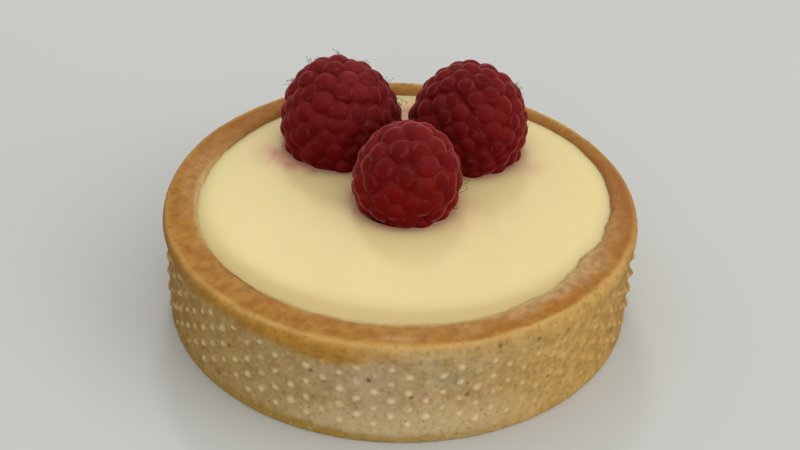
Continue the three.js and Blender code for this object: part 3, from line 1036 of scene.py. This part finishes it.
def grey_colour(shader, mottle, wide):
    """The grey tan of the wall in front, with rosy, olive and mossy patches."""
    grey = shader.mix(*CRUST_TONES["grey"], mottle)
    grey = shader.mix(grey, (188, 156, 128), shader.ramp(shader.noise(1.9, 2), 0.52, 0.66, 0, 0.6))
    grey = shader.mix(grey, (156, 148, 108), shader.ramp(wide, 0.52, 0.66, 0, 0.2))
    grey = shader.mix(grey, (154, 148, 116), shader.soft("moss", 0.8))
    return shader.mix(grey, (182, 150, 124), shader.soft("rosy", 0.5))


def wall_colour(shader, mottle, wide):
    """The wall with its pale pimples, a paler lower front of painted bounce light, and the band under its
    lip.
    """
    wall = shader.mix(*CRUST_TONES["plain"], mottle)
    wall = shader.tint(wall, "gold", shader.mix(*CRUST_TONES["gold"], mottle))
    wall = shader.tint(wall, "grey", grey_colour(shader, mottle, wide))
    wall = shader.tint(wall, "side", shader.mix(*CRUST_TONES["olive"], mottle))
    # Painted bounce light: the lower wall in front is paler.
    wall = shader.mix(wall, (210, 186, 138), shader.soft("low", 0.45))
    wall = shader.tint(wall, "foot", (162, 130, 60))
    tip = shader.mix((232, 210, 160), (222, 186, 124), shader.attribute("gold"))
    wall = shader.mix(wall, tip, shader.soft("tip", 0.6))
    band = shader.mix(*CRUST_TONES["band"], mottle)
    band = shader.tint(band, "side", (146, 102, 42))
    return shader.tint(wall, "band", band)


def rim_colour(shader, mottle):
    """The rim's top with its brown, orange and pale stretches, its crumbs and its film."""
    rim = shader.mix(*CRUST_TONES["rim"], mottle)
    rim = shader.tint(rim, "brown", (158, 100, 46))
    rim = shader.tint(rim, "orange", (180, 108, 34))
    rim = shader.tint(rim, "pale", (196, 158, 112))
    crumbled = shader.ramp(shader.noise(1.6, 3), 0.35, 0.65)
    rim = shader.tint(rim, "crumb", shader.mix(*CRUST_TONES["crumbs"], crumbled))
    return shader.mix(rim, (206, 176, 118), shader.soft("film", 0.75))


def speckled(shader, base, wide):
    """A colour with dark grain, and with pale grain, bran and dust where the crust is open."""
    smooth = shader.math("ADD", shader.attribute("rim"), shader.attribute("band"))
    smooth = shader.math("ADD", smooth, shader.attribute("edge"))
    open_crust = shader.ramp(smooth, 0, 1, 1, 0.1)
    grain = shader.noise(0.8, 2)
    base = shader.mix(base, (120, 84, 44), shader.ramp(grain, 0.46, 0.28, 0, 0.35))
    pale = shader.math("MULTIPLY", shader.ramp(grain, 0.54, 0.74, 0, 0.24), open_crust)
    base = shader.mix(base, (226, 196, 142), pale)
    bare = shader.math("SUBTRACT", open_crust, shader.attribute("tip"))
    many = shader.math("MULTIPLY", shader.ramp(wide, 0.35, 0.6, 0.35, 1), shader.ramp(bare, 0, 1))
    bran = shader.math("MULTIPLY", shader.specks(2.2, 0.6, 0.2), many)
    base = shader.mix(base, (108, 82, 46), bran)
    dust = shader.math("MULTIPLY", shader.specks(0.9, 0.26, 0.16), many)
    return shader.mix(base, (118, 94, 56), dust)


def crust_material():
    shader = Shader(
        "shortcrust",
        Roughness=0.85,
        Specular_IOR_Level=0.12,
        Subsurface_Weight=0.06,
        Subsurface_Scale=0.001,
    )
    mottle = shader.ramp(shader.noise(2.4, 3), 0.35, 0.65)
    wide = shader.noise(6, 2)
    base = shader.tint(wall_colour(shader, mottle, wide), "rim", rim_colour(shader, mottle))
    # Painted highlight along the rim's rounded outer edge.
    base = shader.tint(base, "edge", (212, 170, 100))
    # Painted shade in a crack near the brim.
    base = shader.tint(base, "crack_shade", (112, 72, 34))
    shader.paint(speckled(shader, base, wide))
    shader.bump(shader.noise(0.6, 4, 0.6), 0.07, 0.7)
    return shader.material


def posset_material():
    shader = Shader(
        "set_posset",
        Roughness=0.45,
        Specular_IOR_Level=0.2,
        Subsurface_Weight=0.5,
        Subsurface_Scale=0.004,
        Subsurface_Radius=(1.0, 0.75, 0.35),
    )
    base = shader.mix((239, 221, 160), (236, 214, 152), shader.noise(9, 2))
    # Painted shade along the posset's rounded edge, widest in front.
    base = shader.mix(base, (206, 180, 118), shader.ramp(shader.attribute("edge"), 0.1, 1, 0, 0.8))
    # Juice stains, and painted pink shade beside the berries.
    base = shader.tint(base, "stain_and_shade", (206, 130, 118))
    shader.paint(base)
    return shader.material


def berry_material(side, sheen, redness):
    shader = Shader(
        f"raspberry_flesh_{side}",
        Roughness=0.55,
        Specular_IOR_Level=0.03,
        Subsurface_Weight=0.6,
        Subsurface_Scale=0.002,
        Subsurface_Radius=(1.0, 0.12, 0.1),
        Sheen_Weight=sheen,
        Sheen_Roughness=0.3,
        Sheen_Tint=colour(255, 150, 145),
    )
    tone, upward = shader.attribute("tone"), shader.upward()
    tone = shader.ramp(tone, 0, 1, redness, redness + 0.4)
    flesh = shader.mix((88, 3, 4), (114, 6, 7), tone)
    flesh = shader.mix(flesh, (78, 2, 3), shader.ramp(shader.noise(3, 2), 0.45, 0.7, 0, 0.6))
    # Painted shade: drupelets that face down are darker.
    flesh = shader.mix(flesh, (76, 2, 3), shader.ramp(upward, 0.2, -0.7, 0, 0.6))
    # A pale bloom of fine hairs, strongest on top, where it is painted light from above.
    bloom_and_painted_light = shader.math("MULTIPLY", shader.ramp(upward, -0.2, 1, 0.08, 1), shader.attribute("bloom_and_painted_light"))
    flesh = shader.mix(flesh, (158, 66, 64), bloom_and_painted_light)
    # Painted sheen: a pale ring of fuzz on each drupelet, stronger where it faces up to the light.
    patchy = shader.ramp(shader.noise(1.1, 2), 0.4, 0.6)
    painted_fuzz_sheen = shader.math("MULTIPLY", shader.ramp(upward, -0.5, 0.7), patchy)
    painted_fuzz_sheen = shader.math("MULTIPLY", painted_fuzz_sheen, shader.soft("ring", 0.25))
    flesh = shader.mix(flesh, (176, 84, 82), painted_fuzz_sheen)
    shader.paint(flesh)
    shader.bump(shader.noise(0.35, 3), 0.03, 0.6)
    return shader.material


def style_material():
    shader = Shader("dry_styles", Roughness=0.6)
    brown = shader.mix((70, 44, 30), (126, 92, 62), shader.noise(1.5, 1))
    shader.paint(brown)
    return shader.material


def floor_material():
    shader = Shader("pale_floor", Roughness=0.5, Specular_IOR_Level=0.2)
    pale = shader.mix((207, 208, 204), (203, 204, 200), shader.noise(160, 1))
    shader.paint(pale)
    return shader.material


# ---- Stage ----


def make_floor():
    signs = ((-1, -1), (1, -1), (1, 1), (-1, 1))
    corners = [(FLOOR_REACH * x, FLOOR_REACH * y, 0) for x, y in signs]
    floor = make_piece("floor", corners, [(0, 1, 2, 3)])
    floor.data.materials.append(floor_material())


def make_light(name, azimuth, elevation, distance, size, watts, tint):
    """A square lamp that faces the tartlet."""
    data = bpy.data.lights.new(name, "AREA")
    data.energy, data.size, data.color = watts, size, tint
    lamp = add_object(name, data)
    turn, rise = math.radians(azimuth), math.radians(elevation)
    away = Vector((math.sin(turn) * math.cos(rise), -math.cos(turn) * math.cos(rise), math.sin(rise)))
    lamp.location = away * distance + Vector((0, 0, RIM_HEIGHT * MM))
    lamp.rotation_mode = "QUATERNION"
    lamp.rotation_quaternion = away.to_track_quat("Z", "Y")


def make_lights():
    for name, lamp in LAMPS.items():
        make_light(name, **lamp)
    world = bpy.data.worlds.new("soft_room")
    world.use_nodes = True
    background = world.node_tree.nodes["Background"]
    background.inputs["Color"].default_value = ROOM_TINT
    background.inputs["Strength"].default_value = ROOM_LIGHT
    bpy.context.scene.world = world
    bpy.context.scene.view_settings.view_transform = "Standard"


def make_camera():
    data = bpy.data.cameras.new("camera")
    data.lens, data.sensor_width = CAMERA_LENS, SENSOR_WIDTH
    camera = add_object("camera", data)
    forward = Vector((0, math.cos(CAMERA_PITCH), -math.sin(CAMERA_PITCH)))
    level = Vector((1, 0, 0))
    above = level.cross(forward)
    right = level * math.cos(CAMERA_ROLL) + above * math.sin(CAMERA_ROLL)
    up = above * math.cos(CAMERA_ROLL) - level * math.sin(CAMERA_ROLL)
    facing = Matrix((right, up, -forward)).transposed().to_4x4()
    camera.matrix_world = Matrix.Translation(CAMERA_PLACE) @ facing
    bpy.context.scene.camera = camera


# ---- The tartlet ----


def finish_piece(piece, material):
    piece.data.materials.append(material)
    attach(piece, "root")
    return piece


def make_tartlet():
    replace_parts(finish_piece(make_crust(), crust_material()), "tart_shell")
    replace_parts(finish_piece(make_posset(), posset_material()), "posset_filling")
    dry = style_material()
    for side, berry in BERRIES.items():
        raspberry = Raspberry(berry)
        flesh = berry_material(side, berry["sheen"], berry["redness"])
        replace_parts(finish_piece(make_berry(side, raspberry), flesh), f"raspberry_{side}")
        finish_piece(make_styles(side, raspberry), dry)


make_camera()
make_lights()
make_floor()
make_tartlet()
